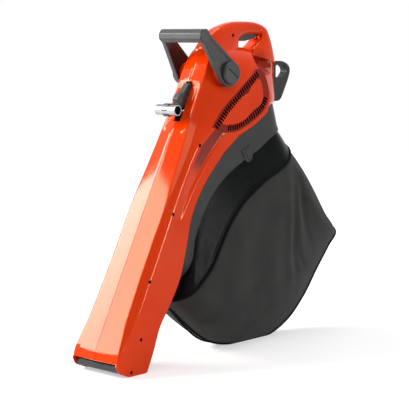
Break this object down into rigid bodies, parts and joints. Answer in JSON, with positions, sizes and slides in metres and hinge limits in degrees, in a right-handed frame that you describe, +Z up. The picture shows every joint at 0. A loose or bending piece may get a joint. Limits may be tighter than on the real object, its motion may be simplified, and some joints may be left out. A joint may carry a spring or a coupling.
{
  "type": "leaf blower",
  "caption": "Handheld garden blower and vacuum: leaning moulded duct body with rear handle, swinging front bail, selector lever, trigger, nozzle roller, fan and a sewn collection bag.",
  "frame": {"origin": "on the ground under the middle of the whole, as it leans by itself on its nozzle and the keel of its bag", "axes": "+Z up, -Y towards the nozzle and the front, +Y towards the bag, +X to its right side"},
  "size_m": [0.2072, 1.0284, 0.9338],
  "materials": {
    "shell": "glossy orange-red moulding",
    "handle": "fine grained mid grey moulding",
    "duct": "dark grey moulding",
    "dark_duct": "charcoal moulding",
    "black": "black moulding",
    "lever": "satin silver",
    "deck": "as cast",
    "steel": "turned",
    "core": "laminated",
    "screws": "blackened",
    "bag": "woven charcoal cloth",
    "binding": "black rolled binding"
  },
  "bodies": {
    "root": {"housing_right": "shell", "housing_left": "shell", "vent_cover_right": "shell", "vent_cover_left": "shell", "roller_axle": "steel", "air_divider": "dark_duct", "fan_scroll": "dark_duct", "motor_bracket": "deck", "bearing_front": "steel", "motor_can": "steel", "bearing_rear": "steel", "stator": "core", "pivot_bolt_right": "steel", "pivot_bolt_left": "steel", "trigger_pin": "steel", "switch_module": "black", "cable_gland": "black", "screw_nozzle_low": "screws", "screw_nozzle_high": "screws", "screw_tube_low": "screws", "screw_tube_high": "screws", "screw_waist": "screws", "screw_handle": "screws", "outlet_collar": "duct", "bag_frame": "dark_duct", "bag_binding": "binding", "collection_bag": "bag", "strap_loop": "handle"},
    "bail": {"bail_frame": "handle", "bail_grip": "handle"},
    "knob_right": {"clamp_knob_right": "handle"},
    "knob_left": {"clamp_knob_left": "handle"},
    "selector": {"selector_arm": "handle", "selector_grip": "lever", "selector_shaft": "steel", "diverter_flap_right": "dark_duct", "diverter_flap_left": "dark_duct"},
    "trigger": {"trigger": "handle"},
    "roller": {"nozzle_roller": "handle"},
    "fan": {"impeller": "dark_duct", "armature": "core", "motor_shaft": "steel"}
  },
  "joints": [
    {"name": "bail_swing", "type": "hinge", "parent": "root", "child": "bail", "pos_m": [0, -0.07333, 0.78974], "axis": [1, 0, 0], "range_deg": [-35, 45]},
    {"name": "knob_right_turn", "type": "hinge", "parent": "root", "child": "knob_right", "pos_m": [0, -0.07333, 0.78974], "axis": [1, 0, 0], "range_deg": [0, 180]},
    {"name": "knob_left_turn", "type": "hinge", "parent": "root", "child": "knob_left", "pos_m": [0, -0.07333, 0.78974], "axis": [1, 0, 0], "range_deg": [0, 180]},
    {"name": "selector_tilt", "type": "hinge", "parent": "root", "child": "selector", "pos_m": [0, -0.14742, 0.72143], "axis": [-1, 0, 0], "range_deg": [0, 40]},
    {"name": "trigger_press", "type": "hinge", "parent": "root", "child": "trigger", "pos_m": [0, 0.14416, 0.906], "axis": [-1, 0, 0], "range_deg": [0, 8], "stiffness_Nm_per_rad": 0.4, "springref_deg": -14.32},
    {"name": "roller_spin", "type": "hinge", "parent": "root", "child": "roller", "pos_m": [0, -0.48484, 0.025], "axis": [1, 0, 0], "continuous": true},
    {"name": "fan_spin", "type": "hinge", "parent": "root", "child": "fan", "pos_m": [0, -0.12544, 0.61259], "axis": [0, 0.454, 0.891], "continuous": true}
  ]
}
